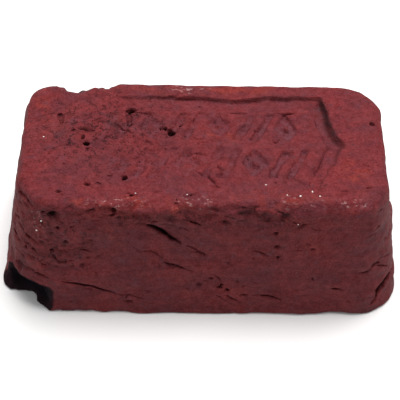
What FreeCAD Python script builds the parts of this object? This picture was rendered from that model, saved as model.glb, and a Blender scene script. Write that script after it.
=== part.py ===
"""A moulded bar of dark red surface clay, pressed from a few lumps.

The bar is a drafted block with round corners. Its top carries a pressed panel: a groove that turns a
point at the right-hand end, round two rows of plain marks. The lumps never quite knitted, so four of
them still show as separate pieces along their laps: a long tongue under the front left edge, a slug in
the middle of the front face, a slug in the front right corner, and a lobe squeezed up at the back left
corner. The front left corner of the tongue has been torn away, and the back rim is dented beside the
lobe. Crumbs of pale grit stick to the clay.

Frame, in millimetres: +X along the bar, +Y towards its back, +Z up, with the origin at the middle of
the face that it rests on. The front face looks along -Y.
"""
import FreeCAD, Part
import math
import os

# ---- driving dimensions, mm ----
BASE_LENGTH = 95.2  # before the foot is rounded, which takes it to 95 by 50
BASE_WIDTH = 50.2
HEIGHT = 32.5
TOP_LENGTH = 84.8
TOP_WIDTH = 40.4
TOP_SHIFT = (0.4, 0.4)  # the top sits this far to the right and back of the base
BASE_CORNER_RADIUS = 11.0
TOP_CORNER_RADIUS = 9.5
CREST_RADIUS = 1.6  # the worn edge round the top
FOOT_RADIUS = 0.5  # the edge round the base

# Pressed panel on the top: an outline with a pointed end, and two rows of marks inside it.
PANEL_HALF_LENGTH = 28.0  # from the middle to the corners
PANEL_HALF_WIDTH = 16.0
PANEL_POINT = 5.4  # how far the pointed end stands out past the corners
PANEL_WORN_END = -24.0  # the left-hand end is worn away up to here
PANEL_WORN_FRONT = -12.6  # the front line is worn away up to here
GROOVE_WIDTH = 3.4
GROOVE_DEPTH = 1.0
MARK_ROWS = (6.0, -6.8)  # Y of each row
MARK_PITCH = 7.9
MARKS_PER_ROW = 6
MARK_LENGTH = 8.6  # across the row
MARK_WIDTH = 5.8
MARK_STROKE = 1.6
MARK_SLANT = 0.45  # how far a bar leans to the right for each mm that it runs back
MARK_DEPTH_SHARP = 0.9  # at the right-hand end
MARK_DEPTH_WORN = 0.4  # at the left-hand end

# Laps between the lumps, and damage.
TONGUE_POINTS = ((-39.6, -22.1, 11.6), (-13.6, -24.3, 4.2), (-45.0, -17.4, 9.2))  # the lap's plane
FRONT_SLUG = {"centre": (-9.0, -21.7, 20.5), "half": (13.0, 5.0, 4.4), "tilt": 27.0}
CORNER_SLUG = {"centre": (39.9, -20.2, 8.3), "half": (4.4, 4.6, 5.2), "tilt": -8.0}
BACK_LEFT_LOBE = {"centre": (-39.5, 14.5, 26.5), "half": (5.6, 7.5, 8.5), "tilt": 0.0}
TORN_CORNER = {"centre": (-46.5, -26.5, 0.5), "half": (12.2, 11.5, 9.5), "tilt": 0.0}
RIM_DENTS = (  # each a shallow bite out of the back left of the rim
    {"centre": (-32.2, 24.0, 36.2), "half": (4.2, 9.0, 6.4), "tilt": 0.0},
    {"centre": (-25.4, 24.0, 36.6), "half": (4.0, 9.0, 6.0), "tilt": 0.0},
)

# Grit: X and Y on the top face, and radius.
TOP_GRIT = (
    (24.9, -14.6, 0.5),
    (14.3, -13.3, 0.4),
    (26.4, -16.6, 0.45),
    (22.0, -16.9, 0.55),
    (19.0, -16.4, 0.35),
    (-3.6, -16.2, 0.35),
    (-15.2, -16.0, 0.35),
    (-37.2, 1.6, 0.35),
)
# Grit: X and Z on the front face, and radius.
FRONT_GRIT = ((-37.0, 27.2, 0.4), (-38.2, 24.4, 0.35), (21.6, 27.6, 0.35))
GRIT_SUNK = 0.4  # share of a crumb's height that lies below the surface

OUTSIDE = 200.0  # longer than anything here, for cutting tools


def vector(x, y, z):
    return FreeCAD.Vector(x, y, z)


def rounded_outline(length, width, radius, centre):
    """A rectangle with round corners, as a closed wire round a centre in a level plane."""
    half_x, half_y = length / 2, width / 2
    slant = radius * (1 - math.sqrt(0.5))  # from a square corner's sides to the middle of its arc
    edges = []
    for sx, sy in ((1, 1), (-1, 1), (-1, -1), (1, -1)):
        on_side = centre + vector(sx * half_x, sy * (half_y - radius), 0)
        on_end = centre + vector(sx * (half_x - radius), sy * half_y, 0)
        middle = centre + vector(sx * (half_x - slant), sy * (half_y - slant), 0)
        start, end = (on_side, on_end) if sx * sy > 0 else (on_end, on_side)
        edges.append(Part.Arc(start, middle, end).toShape())
    sides = []
    for arc, following in zip(edges, edges[1:] + edges[:1]):
        sides.append(Part.LineSegment(arc.lastVertex().Point, following.firstVertex().Point).toShape())
    return Part.Wire([edge for pair in zip(edges, sides) for edge in pair])


def drafted_block():
    """The bar before any lap, mark or damage: wider at the base, with round corners and a soft crest."""
    base = rounded_outline(BASE_LENGTH, BASE_WIDTH, BASE_CORNER_RADIUS, vector(0, 0, 0))
    top = rounded_outline(TOP_LENGTH, TOP_WIDTH, TOP_CORNER_RADIUS, vector(*TOP_SHIFT, HEIGHT))
    block = Part.makeLoft([base, top], True, True)
    block = block.makeFillet(CREST_RADIUS, edges_at(block, HEIGHT))
    return block.makeFillet(FOOT_RADIUS, edges_at(block, 0.0))


def edges_at(shape, z):
    """The edges that lie flat at that height."""
    return [e for e in shape.Edges if abs(e.BoundBox.ZMin - z) < 1e-4 and abs(e.BoundBox.ZMax - z) < 1e-4]


def ellipsoid(centre, half, tilt):
    """A lump with those half-lengths, tilted so that its +X end dips by tilt degrees."""
    stretch = FreeCAD.Matrix()
    stretch.scale(*half)
    lump = Part.makeSphere(1.0)
    lump.rotate(vector(0, 0, 0), vector(0, 0, 1), 90)  # so that the surface's own seam is at the back
    lump = lump.transformGeometry(stretch)
    lump.rotate(vector(0, 0, 0), vector(0, 1, 0), tilt)
    lump.translate(vector(*centre))
    return lump


def space_under(points):
    """Everything below the plane through three points, as one large block."""
    a, b, c = (vector(*p) for p in points)
    up = (b - a).cross(c - a).normalize()
    if up.z < 0:
        up = up * -1
    block = Part.makeBox(OUTSIDE, OUTSIDE, OUTSIDE, vector(-OUTSIDE / 2, -OUTSIDE / 2, -OUTSIDE))
    block.Placement = FreeCAD.Placement(a, FreeCAD.Rotation(vector(0, 0, 1), up))
    return block


def prism(points, bottom):
    """An upright prism on a closed outline of (x, y) points, from bottom to above the bar."""
    corners = [vector(x, y, bottom) for x, y in points]
    face = Part.Face(Part.makePolygon(corners + corners[:1]))
    return face.extrude(vector(0, 0, HEIGHT))


def pointed_panel(inset):
    """The panel's outline, moved in by inset: a rectangle with a pointed end on each side."""
    slope = math.atan2(PANEL_POINT, PANEL_HALF_WIDTH)
    half_width = PANEL_HALF_WIDTH - inset
    tip = PANEL_HALF_LENGTH + PANEL_POINT - inset / math.cos(slope)
    corner = tip - half_width * math.tan(slope)
    right = [(corner, -half_width), (tip, 0), (corner, half_width)]
    return right + [(-x, -y) for x, y in right]


def panel_groove():
    """The groove round the panel, where it isn't worn away."""
    bottom = HEIGHT - GROOVE_DEPTH
    ring = prism(pointed_panel(0.0), bottom).cut(prism(pointed_panel(GROOVE_WIDTH), bottom))
    length = PANEL_HALF_LENGTH + PANEL_POINT - PANEL_WORN_END
    width = PANEL_HALF_WIDTH - PANEL_WORN_FRONT
    kept = Part.makeBox(length, width, HEIGHT, vector(PANEL_WORN_END, PANEL_WORN_FRONT, bottom))
    return ring.common(kept)


def lozenge(x, y, bottom):
    """A pressed lozenge with a raised middle."""
    def outline(half_x, half_y):
        return [(x + half_x, y), (x, y + half_y), (x - half_x, y), (x, y - half_y)]

    outer = prism(outline(MARK_WIDTH / 2, MARK_LENGTH / 2), bottom)
    share = 1 - 2 * MARK_STROKE / MARK_WIDTH
    return outer.cut(prism(outline(share * MARK_WIDTH / 2, share * MARK_LENGTH / 2), bottom))


def slanted_bars(x, y, bottom):
    """Two pressed bars side by side, leaning to the right."""
    apart = (MARK_WIDTH - MARK_STROKE) / 2
    lean = MARK_SLANT * MARK_LENGTH / 2
    bars = []
    for middle in (x - apart, x + apart):
        front_left = (middle - lean - MARK_STROKE / 2, y - MARK_LENGTH / 2)
        front_right = (middle - lean + MARK_STROKE / 2, y - MARK_LENGTH / 2)
        back_right = (middle + lean + MARK_STROKE / 2, y + MARK_LENGTH / 2)
        back_left = (middle + lean - MARK_STROKE / 2, y + MARK_LENGTH / 2)
        bars.append(prism([front_left, front_right, back_right, back_left], bottom))
    return bars[0].fuse(bars[1])


def panel_marks():
    """The two rows of marks, lozenges and bars by turns, fainter towards the left."""
    marks = []
    for row, y in enumerate(MARK_ROWS):
        for column in range(MARKS_PER_ROW):
            x = (column - (MARKS_PER_ROW - 1) / 2) * MARK_PITCH
            sharpness = column / (MARKS_PER_ROW - 1)
            depth = MARK_DEPTH_WORN + (MARK_DEPTH_SHARP - MARK_DEPTH_WORN) * sharpness
            mark = lozenge if (row + column) % 2 else slanted_bars
            marks.append(mark(x, y, HEIGHT - depth))
    return marks


def front_y(z):
    """Y of the front face at that height."""
    lean = (BASE_WIDTH - TOP_WIDTH) / 2 + TOP_SHIFT[1]
    return -BASE_WIDTH / 2 + lean * z / HEIGHT


def grit(clay):
    """The crumbs, each a small ball flattened where it sits in the clay."""
    balls = [
        Part.makeSphere(r, vector(x, y, HEIGHT + r * (1 - 2 * GRIT_SUNK))) for x, y, r in TOP_GRIT
    ] + [
        Part.makeSphere(r, vector(x, front_y(z) - r * (1 - 2 * GRIT_SUNK), z)) for x, z, r in FRONT_GRIT
    ]
    return [ball.cut(clay) for ball in balls]


def one_solid(shape, name):
    """The shape as a single checked solid."""
    if len(shape.Solids) != 1:
        raise ValueError(f"{name} has {len(shape.Solids)} solids")
    solid = shape.Solids[0]
    if not solid.isValid():
        raise ValueError(f"{name} isn't a valid solid")
    return solid


def make_parts():
    """Every node of the bar, by name."""
    whole = drafted_block().cut([ellipsoid(**TORN_CORNER), *(ellipsoid(**dent) for dent in RIM_DENTS)])
    lapped_space = {
        "lower_front_tongue": space_under(TONGUE_POINTS),
        "front_slug": ellipsoid(**FRONT_SLUG),
        "corner_slug": ellipsoid(**CORNER_SLUG),
        "back_left_lobe": ellipsoid(**BACK_LEFT_LOBE),
    }
    clay = {name: whole.common(space) for name, space in lapped_space.items()}
    clay["main_slug"] = whole.cut([*lapped_space.values(), panel_groove(), *panel_marks()])
    parts = {name: one_solid(shape, name) for name, shape in clay.items()}
    parts["grit_crumbs"] = Part.makeCompound([one_solid(crumb, "a crumb") for crumb in grit(whole)])
    return parts


def main():
    os.makedirs("parts", exist_ok=True)
    for name, shape in make_parts().items():
        shape.exportStep(f"parts/{name}.step")
        print(f"{name}: {shape.Volume:.1f} mm3")


main()
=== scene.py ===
"""The looks of the clay bar: five torn and pressed lumps of dark red clay, and the grit stuck to them.

The clay is first shaped as one field of signed distances in millimetres, on a grid round the bar: below
zero is clay. The field starts as the bar's drafted block. The pressed panel and hand-pressed waves come
first, and that surface is the clay's skin. Tears, folds, slits and pits are then cut into it, it is
divided along its laps, and each lump is turned into a mesh. How deep each point of a mesh lies under the
skin (the material paints shade by it), where the clay was pressed, smeared, scuffed or crazed, and where
shade is painted on it (on the groove's outer wall, in the torn corner and on the sides below the top)
and highlights with the scuffs, is kept on the mesh for the material to use.

All coordinates are the part's own: +X along the bar, +Y towards its back, +Z up from the floor.
"""

import math

import bmesh
import bpy
import numpy as np
import openvdb
from mathutils import Matrix, Vector


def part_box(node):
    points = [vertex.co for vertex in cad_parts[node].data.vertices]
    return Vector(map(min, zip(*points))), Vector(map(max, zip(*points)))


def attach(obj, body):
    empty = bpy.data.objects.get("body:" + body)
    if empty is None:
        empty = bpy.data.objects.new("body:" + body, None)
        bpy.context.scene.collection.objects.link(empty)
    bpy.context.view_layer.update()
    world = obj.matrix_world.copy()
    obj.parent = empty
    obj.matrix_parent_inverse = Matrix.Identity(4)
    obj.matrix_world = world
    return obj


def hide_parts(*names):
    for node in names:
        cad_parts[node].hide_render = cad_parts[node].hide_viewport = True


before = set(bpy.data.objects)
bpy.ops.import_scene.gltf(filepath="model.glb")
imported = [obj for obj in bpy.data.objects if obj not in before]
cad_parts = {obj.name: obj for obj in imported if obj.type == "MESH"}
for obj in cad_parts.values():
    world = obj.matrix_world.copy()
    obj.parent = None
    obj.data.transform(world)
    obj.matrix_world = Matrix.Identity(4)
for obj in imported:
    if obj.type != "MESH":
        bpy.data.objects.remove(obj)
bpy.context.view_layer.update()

MM = 0.001

# ---- sizes, mm ----
BAR_LOW, BAR_HIGH = (np.array(corner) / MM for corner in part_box("main_slug"))
LENGTH, WIDTH, HEIGHT = BAR_HIGH - BAR_LOW
TOP_LENGTH = 84.8
TOP_WIDTH = 40.4
TOP_SHIFT = (0.4, 0.4)  # the top sits this far to the right and back of the base
BASE_CORNER_RADIUS = 11.0
TOP_CORNER_RADIUS = 10.0
CREST_RADIUS_FRONT = 1.9
CREST_RADIUS_BACK = 0.9
FOOT_RADIUS = 0.5
GRID_PITCH = 0.28
GRID_MARGIN = 1.6  # space kept round the bar
CORNER_REACH = 14.0  # how far in from a side's widest plane its surface may lie
TOP_REACH = 3.0  # the same for the top
LINE_WANDER = 0.15  # how far tears and folds stray from their lines

# ---- pressed panel on the top ----
PANEL_TIP = 32.8  # X of the pointed end
PANEL_HALF_WIDTH = 16.0
PANEL_SLOPE_BACK = 0.27  # how fast the pointed end draws back, towards the back and the front
PANEL_SLOPE_FRONT = 0.45
GROOVE_WIDTH_SIDE = 5.0
GROOVE_WIDTH_END = 3.2
GROOVE_DEPTH = 1.1
GROOVE_FADE_LEFT = (-30, -4)  # X over which the groove comes in from its worn end
GROOVE_FADE_FRONT = (-17, -13)  # and Y, from its worn front line
MARK_ROWS = (5.6, -6.4)
MARK_PITCH = 7.9
MARKS_PER_ROW = 6
MARK_LENGTH = 8.8
MARK_WIDTH = 6.0
MARK_STROKE = 1.9
MARK_SLANT = 0.45  # how far a bar leans to the right for each mm that it runs back
MARK_DEPTH = 0.95
MARK_SHARPNESS = (0.62, 0.72, 0.8, 0.88, 0.95, 1.0)  # of each mark in a row, from the worn end

# ---- laps between the lumps ----
TONGUE_POINTS = ((-39.6, -22.1, 11.6), (-13.6, -24.3, 4.2), (-45.0, -17.4, 9.2))
FRONT_SLUG = {"centre": (-9.0, -21.7, 20.5), "half": (13.0, 5.0, 4.4), "tilt": 27.0}
CORNER_SLUG = {"centre": (39.9, -20.2, 8.3), "half": (4.4, 4.6, 5.2), "tilt": -8.0}
BACK_LEFT_LOBE = {"centre": (-39.5, 14.5, 26.5), "half": (5.6, 7.5, 8.5), "tilt": 0.0}
LAP_OVERLAP = 0.12  # each of two lumps runs this far past the surface that divides them
WEAR = 0.2  # the whole surface lies this far inside the plain bar
CRUMB_SWELL = 0.65  # the crumbs' size against their plain solids

FACES_PER_LUMP = {
    "main_slug": 190000,
    "lower_front_tongue": 40000,
    "front_slug": 16000,
    "corner_slug": 9000,
    "back_left_lobe": 16000,
}


# ---- fields ----

def soft_max(a, b, radius):
    """The larger of two fields, with a round edge of that radius where they cross."""
    return (
        np.minimum(np.maximum(a, b), -radius)
        + np.hypot(np.maximum(a + radius, 0), np.maximum(b + radius, 0))
    )


def blend_max(a, b, width):
    """The larger of two fields, with the corner between them filled over that width."""
    near = np.maximum(width - np.abs(a - b), 0) / width
    return np.maximum(a, b) + near * near * width / 4


def smooth_step(low, high, value):
    """0 below low, 1 above high, and a smooth ramp between them."""
    t = np.clip((value - low) / (high - low), 0, 1)
    return t * t * (3 - 2 * t)


def bar_distance(x, y, z, press=0.0):
    """The plain bar: drafted sides, round corners and a worn crest. press lowers the top."""
    rise = z / HEIGHT
    half_x = LENGTH / 2 + (TOP_LENGTH - LENGTH) / 2 * rise
    half_y = WIDTH / 2 + (TOP_WIDTH - WIDTH) / 2 * rise
    radius = BASE_CORNER_RADIUS + (TOP_CORNER_RADIUS - BASE_CORNER_RADIUS) * rise
    out_x = np.abs(x - TOP_SHIFT[0] * rise) - half_x + radius
    out_y = np.abs(y - TOP_SHIFT[1] * rise) - half_y + radius
    side = np.hypot(np.maximum(out_x, 0), np.maximum(out_y, 0)) + np.minimum(np.maximum(out_x, out_y), 0)
    side = (side - radius) * math.cos(math.atan2(WIDTH - TOP_WIDTH, 2 * HEIGHT))
    crest = CREST_RADIUS_BACK + (CREST_RADIUS_FRONT - CREST_RADIUS_BACK) * smooth_step(8, -14, y)
    above = z - (HEIGHT - press)
    return soft_max(soft_max(side, above, crest), -z, FOOT_RADIUS)


def ellipsoid_distance(x, y, z, centre, half, tilt=0.0):
    """A lump with those half-lengths, tilted so that its +X end dips by tilt degrees."""
    turn = math.radians(tilt)
    dx, dy, dz = x - centre[0], y - centre[1], z - centre[2]
    along = dx * math.cos(turn) - dz * math.sin(turn)
    up = dx * math.sin(turn) + dz * math.cos(turn)
    near = np.sqrt((along / half[0]) ** 2 + (dy / half[1]) ** 2 + (up / half[2]) ** 2)
    steep = np.sqrt((along / half[0] ** 2) ** 2 + (dy / half[1] ** 2) ** 2 + (up / half[2] ** 2) ** 2)
    return near * (near - 1) / np.maximum(steep, 1e-6)


def plane_distance(x, y, z, points):
    """Height over the plane through three points, measured square to it."""
    a, b, c = (Vector(p) for p in points)
    up = (b - a).cross(c - a).normalized()
    if up.z < 0:
        up.negate()
    return (x - a.x) * up.x + (y - a.y) * up.y + (z - a.z) * up.z


def spline_weights(positions, start, end, step):
    """How much each knot of a smooth curve, a step apart, counts at each position."""
    knots = int((end - start) / step) + 4
    place = (positions - start) / step
    first = np.floor(place).astype(int)
    t = place - first
    weights = np.zeros((len(positions), knots), dtype=np.float32)
    rows = np.arange(len(positions))
    shares = ((1 - t) ** 3, 3 * t**3 - 6 * t**2 + 4, -3 * t**3 + 3 * t**2 + 3 * t + 1, t**3)
    for offset, share in enumerate(shares):
        weights[rows, first + offset] = share / 6
    return weights


def smooth_line(points, steps=5):
    """Points along a smooth curve through the given ones."""
    knots = np.array([points[0], *points, points[-1]], dtype=float)
    line = []
    for a, b, c, d in zip(knots, knots[1:], knots[2:], knots[3:]):
        for t in np.arange(steps) / steps:
            bend = (2 * a - 5 * b + 4 * c - d) * t + (3 * b - a - 3 * c + d) * t * t
            line.append(b + ((c - a) + bend) * t / 2)
    return np.array([*line, knots[-1]])


def beside_line(u, v, line):
    """How far along a line each point lies, from -1 to 1, and how far it is to the left of it."""
    lengths = np.linalg.norm(np.diff(line, axis=0), axis=1)
    total, walked = lengths.sum(), 0.0
    nearest, place, left = 1e9, 0.0, 0.0
    for (au, av), (bu, bv), length in zip(line, line[1:], lengths):
        du, dv = bu - au, bv - av
        t = np.clip(((u - au) * du + (v - av) * dv) / length**2, 0, 1)
        off_u, off_v = u - au - t * du, v - av - t * dv
        away = np.hypot(off_u, off_v)
        nearer = away < nearest
        nearest = np.where(nearer, away, nearest)
        place = np.where(nearer, 2 * (walked + t * length) / total - 1, place)
        left = np.where(nearer, np.copysign(away, du * off_v - dv * off_u), left)
        walked += length
    return place, left


class Side:
    """One side of the bar: which axes run along it, and which box lies under a patch of it."""

    def __init__(self, across, outward, sign):
        self.across = across
        self.outward = outward
        self.sign = sign

    def flat(self, x, y, z):
        """The two coordinates that run along the side."""
        point = (x, y, z)
        return point[self.across[0]], point[self.across[1]]

    def box(self, points, reach, deep):
        """Two corners of the box that holds those flat points, with that much room round them."""
        low, high = [0, 0, 0], [0, 0, 0]
        for axis, values in zip(self.across, zip(*points)):
            low[axis], high[axis] = min(values) - reach, max(values) + reach
        limit = (BAR_LOW, None, BAR_HIGH)[self.sign + 1][self.outward]
        inside = limit - self.sign * (deep + (TOP_REACH if self.outward == 2 else CORNER_REACH))
        outside = limit + self.sign * GRID_MARGIN
        low[self.outward], high[self.outward] = sorted((inside, outside))
        return low, high


SIDES = {
    "front": Side((0, 2), 1, -1),
    "back": Side((0, 2), 1, 1),
    "left": Side((1, 2), 0, -1),
    "right": Side((1, 2), 0, 1),
    "top": Side((0, 1), 2, 1),
}


class Clay:
    """The bar's field on its grid, and the tools that shape it."""

    def __init__(self, pitch):
        self.pitch = pitch
        self.low = BAR_LOW - GRID_MARGIN
        self.high = BAR_HIGH + GRID_MARGIN
        self.axes = [np.arange(a, b, pitch).astype(np.float32) for a, b in zip(self.low, self.high)]
        self.x, self.y, self.z = np.ix_(*self.axes)
        self.field = bar_distance(self.x, self.y, self.z).astype(np.float32)
        self.skin = self.field
        self.from_tear = np.full_like(self.field, GRID_MARGIN)  # distance from the torn corner's void
        self.rough = self.waves(8, 1.0, 1.0, 1.0)
        self.wander = (self.waves(9, 2.6, 2.6, 2.6), self.waves(10, 2.6, 2.6, 2.6))

    def waves(self, seed, *steps):
        """Smooth random waves over the whole grid, with knots that many mm apart along X, Y and Z."""
        weights = [
            spline_weights(axis, low, high, step)
            for axis, low, high, step in zip(self.axes, self.low, self.high, steps)
        ]
        values = np.random.default_rng(seed).standard_normal([w.shape[1] for w in weights])
        values = values.astype(np.float32)
        for w in weights:
            values = np.tensordot(values, w, (0, 1))
        return values / values.std()

    def relief(self, seed, steps, height):
        """Smooth random waves of about that height in mm."""
        return self.waves(seed, *steps) * height

    def window(self, low, high):
        """The part of the grid between two corners: its slices, X, Y, Z and depth under the skin."""
        slices = tuple(
            slice(*np.searchsorted(axis, (a, b))) for axis, a, b in zip(self.axes, low, high)
        )
        x, y, z = np.ix_(*(axis[part] for axis, part in zip(self.axes, slices)))
        return slices, x, y, z, -self.skin[slices]

    def cut(self, slices, void, soften):
        """Takes a void out of the clay, with lips rounded over that width."""
        self.field[slices] = blend_max(self.field[slices], -void, soften)

    def dent(self, centre, half, tilt=0.0, soften=0.6):
        """Takes a rough ellipsoid out of the clay."""
        reach = max(half) + 1
        slices, x, y, z, _ = self.window([c - reach for c in centre], [c + reach for c in centre])
        void = ellipsoid_distance(x, y, z, centre, half, tilt)
        self.cut(slices, void + min(0.12 * min(half), 0.16) * self.rough[slices], soften)

    def swell(self, centre, half, tilt=0.0, soften=1.5):
        """Adds an ellipsoid to the clay, as far down as the floor."""
        reach = max(half) + 1
        slices, x, y, z, _ = self.window([c - reach for c in centre], [c + reach for c in centre])
        lump = ellipsoid_distance(x, y, z, centre, half, tilt)
        swollen = -blend_max(-self.field[slices], -lump, soften)
        self.field[slices] = soft_max(swollen, -z, FOOT_RADIUS)

    def pit(self, side, u, v, half_u, half_v, deep, soften=0.15):
        """A ragged pit in a side, centred on its skin."""
        reach = 1.5 * max(half_u, half_v) + 0.8
        slices, x, y, z, depth = self.window(*SIDES[side].box([(u, v)], reach, deep))
        du, dv = SIDES[side].flat(x, y, z)
        near = np.sqrt(((du - u) / half_u) ** 2 + ((dv - v) / half_v) ** 2 + (depth / deep) ** 2)
        rough = self.rough[slices]
        near = near + 0.4 * (rough - rough.flat[near.argmin()])
        self.cut(slices, (near - 1) * min(half_u, half_v, deep), soften)

    def beside(self, side, points, reach, deep, lean):
        """The window round a line on a side, with each point's place along the line and beside it."""
        slices, x, y, z, depth = self.window(*SIDES[side].box(points, reach + abs(lean) * deep, deep))
        u, v = SIDES[side].flat(x, y, z)
        u = u + LINE_WANDER * self.wander[0][slices]
        v = v + LINE_WANDER * self.wander[1][slices]
        place, left = beside_line(u, v, smooth_line(points))
        return slices, depth, place, left

    def slit(self, side, points, half_width, deep, lean=0.0, soften=0.12):
        """A tear that narrows with depth and towards its ends. lean carries its bottom to the left."""
        slices, depth, place, left = self.beside(side, points, half_width + 0.8, deep, lean)
        width = half_width * (1 - 0.85 * place**2) * (1 + 0.4 * self.rough[slices])
        void = np.abs(left - lean * depth) - width * (1 - depth / deep)
        self.cut(slices, void, soften)

    def fold(self, side, points, reach, deep, undercut=0.1, lip=0.1, soften=0.15):
        """A lap: left of the line the surface dives in behind the lip on its right."""
        slices, depth, place, left = self.beside(side, points, reach + 1, deep, undercut)
        taper = 1 - place**2
        self.field[slices] -= lip * taper * np.exp(-(((left + 0.8) / 0.8) ** 2))
        left = left + undercut * np.maximum(depth, 0) + 0.08 * self.rough[slices]
        floor = deep * taper * np.clip(1 - left / (reach * (0.3 + 0.7 * taper)), 0, 1) ** 2
        shallow = 1 - np.clip(floor / 0.15, 0, 1)
        void = np.maximum(0.8 * (depth - floor) + 0.4 * shallow, -left)
        self.cut(slices, void, soften)

    def sample(self, grid, points):
        """The value of a grid at each point, blended between its cells."""
        place = (points - self.low) / self.pitch
        first = np.clip(np.floor(place).astype(int), 0, np.array(grid.shape) - 2)
        t = place - first
        value = 0.0
        for corner in np.ndindex(2, 2, 2):
            weight = np.prod(np.where(corner, t, 1 - t), axis=1)
            value = value + weight * grid[tuple((first + corner).T)]
        return value


# ---- the pressed panel ----

def ring_press(x, y):
    """How far the groove round the panel is pressed in at each point of the top, and the painted shade
    on its outer wall.
    """
    slope = np.arctan(np.where(y > 0, PANEL_SLOPE_BACK, PANEL_SLOPE_FRONT))
    end = (x - PANEL_TIP + np.abs(y) * np.tan(slope)) * np.cos(slope)
    side = np.abs(y) - PANEL_HALF_WIDTH
    outline = np.maximum(side, end)
    at_end = smooth_step(-1, 1, end - side)
    width = GROOVE_WIDTH_SIDE + (GROOVE_WIDTH_END - GROOVE_WIDTH_SIDE) * at_end
    steep = at_end * smooth_step(-5, 2, y)  # the back half of the pointed end is pressed deepest
    outer_wall = smooth_step(0.3, -0.4 - 0.9 * steep, outline)
    inner_wall = smooth_step(-width - 0.3, -width + 0.5, outline)
    inward = np.clip(-outline / width, 0, 1)
    kept = smooth_step(*GROOVE_FADE_LEFT, x) * smooth_step(*GROOVE_FADE_FRONT, y)
    kept = kept * (0.65 + 0.35 * smooth_step(-2, 8, y))
    kept = kept * smooth_step(-9, -3, y + 20 * smooth_step(17, 22, x))
    depth = GROOVE_DEPTH * (1.0 + 0.8 * steep - 0.4 * inward) * outer_wall * inner_wall
    # the outer wall's share of painted shade, most at the steep pointed end
    wall = smooth_step(-0.7 - 1.3 * steep, -0.2, outline) * smooth_step(0.5, 0.1, outline)
    wall = wall * (0.35 + 0.65 * steep)
    return depth * kept, wall * kept


def lozenge_edge(dx, dy):
    """How far outside a lozenge's pressed line each point lies."""
    a, b = MARK_WIDTH / 2, MARK_LENGTH / 2
    outline = (np.abs(dx) / a + np.abs(dy) / b - 1) * a * b / math.hypot(a, b)
    return np.abs(outline + MARK_STROKE / 2) - MARK_STROKE / 2


def slanted_bars_edge(dx, dy):
    """How far outside two slanted bars each point lies."""
    leaning = dx - MARK_SLANT * dy
    bar = np.abs(np.abs(leaning) - (MARK_WIDTH - MARK_STROKE) / 2) - MARK_STROKE / 2
    return np.maximum(bar, np.abs(dy) - MARK_LENGTH / 2)


def marks_depth(x, y):
    """How far the two rows of lozenges and slanted bars are pressed in: fainter to the left."""
    press = np.zeros_like(x + y)
    for row, row_y in enumerate(MARK_ROWS):
        for column, sharp in enumerate(MARK_SHARPNESS):
            mark_x = (column - (MARKS_PER_ROW - 1) / 2) * MARK_PITCH
            edge = lozenge_edge if (row + column) % 2 else slanted_bars_edge
            soft = 1.0 - 0.5 * sharp
            mark = smooth_step(soft, -soft, edge(x - mark_x, y - row_y))
            press = np.maximum(press, MARK_DEPTH * sharp * mark)
    return press


def press_panel(clay):
    """Presses the panel into the top, worn and wandering."""
    flat_low = np.searchsorted(clay.axes[2], HEIGHT - 1)
    level = (slice(None), slice(None), slice(flat_low, flat_low + 1))
    wander_x = clay.waves(11, 6, 6, 30)[level] * 0.3 + clay.waves(14, 1.8, 1.8, 30)[level] * 0.2
    wander_y = clay.waves(12, 6, 6, 30)[level] * 0.3 + clay.waves(15, 1.8, 1.8, 30)[level] * 0.2
    wear = clay.waves(13, 5, 5, 30)[level]
    x, y = clay.x + wander_x, clay.y + wander_y
    ring, wall = ring_press(x, y)
    ring = ring * (1 - 0.12 * wear)
    marks = marks_depth(x, y) * (0.6 + 0.4 * smooth_step(-1.5, 1.0, wear))
    clay.press = np.maximum(0.35 * ring, marks)[:, :, 0]
    # where shade is painted on the groove's outer wall
    clay.grime = wall[:, :, 0]
    press = np.maximum(ring, marks)
    slices, x, y, z, _ = clay.window(BAR_LOW + [0, 0, HEIGHT - 6], BAR_HIGH + GRID_MARGIN)
    clay.field[slices] = bar_distance(x, y, z, press[slices[0], slices[1]])


# ---- hand-pressed waves: seed, distances between knots along X, Y and Z, height ----

BROAD_WAVES = (1, (16, 16, 12), 0.22)
SMALL_WAVES = ((2, (6, 6, 5), 0.15), (3, (2.6, 2.6, 2.0), 0.1))
FINE_WAVES = (4, (1.1, 1.1, 0.8), 0.045)
FLOW_LINES = (6, (9, 4, 1.5), 0.1)
CREST_WAVES = ((16, (3.5, 2, 1.8), 0.4), (17, (1.5, 1.2, 0.9), 0.22))


def rumple(clay):
    """Broad waves, smaller ones, long level flow lines round the sides, and a rougher front crest."""
    low = smooth_step(-1.0, 2.5, clay.z)  # the broad waves fade out at the foot
    back_rim = smooth_step(12, 18, clay.y) * smooth_step(24, 29, clay.z) * smooth_step(-22, -14, clay.x)
    loose = 1 - 0.75 * back_rim  # the back rim stays nearly straight
    clay.field += WEAR + clay.relief(*BROAD_WAVES) * low * loose
    for waves in SMALL_WAVES:
        clay.field += clay.relief(*waves) * loose
    clay.field += clay.relief(*FINE_WAVES)
    rough_sides = smooth_step(HEIGHT - 1, HEIGHT - 4, clay.z)
    clay.field += clay.relief(*FLOW_LINES) * rough_sides
    crest_front = np.exp(-((clay.y + 20.5) / 2.5) ** 2 - ((clay.z - 30.5) / 2.2) ** 2)
    clay.field += (clay.relief(*CREST_WAVES[0]) + clay.relief(*CREST_WAVES[1])) * crest_front
    clay.field = soft_max(clay.field, -clay.z, FOOT_RADIUS)
    clay.skin = clay.field.copy()


# ---- damage ----

TORN_OUTLINE = (  # where the torn corner's back wall meets the floor, X and Y
    (-49, -13.4),
    (-47.6, -15.6),
    (-46.6, -17.6),
    (-45.6, -18.7),
    (-43.4, -19),
    (-41.9, -19.9),
    (-40.4, -20.8),
    (-38.3, -22.6),
    (-36.5, -24.8),
    (-35.3, -26.5),
)
TORN_RIGHT_WALL = -35.7
TORN_ROOF = 8.3

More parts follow.
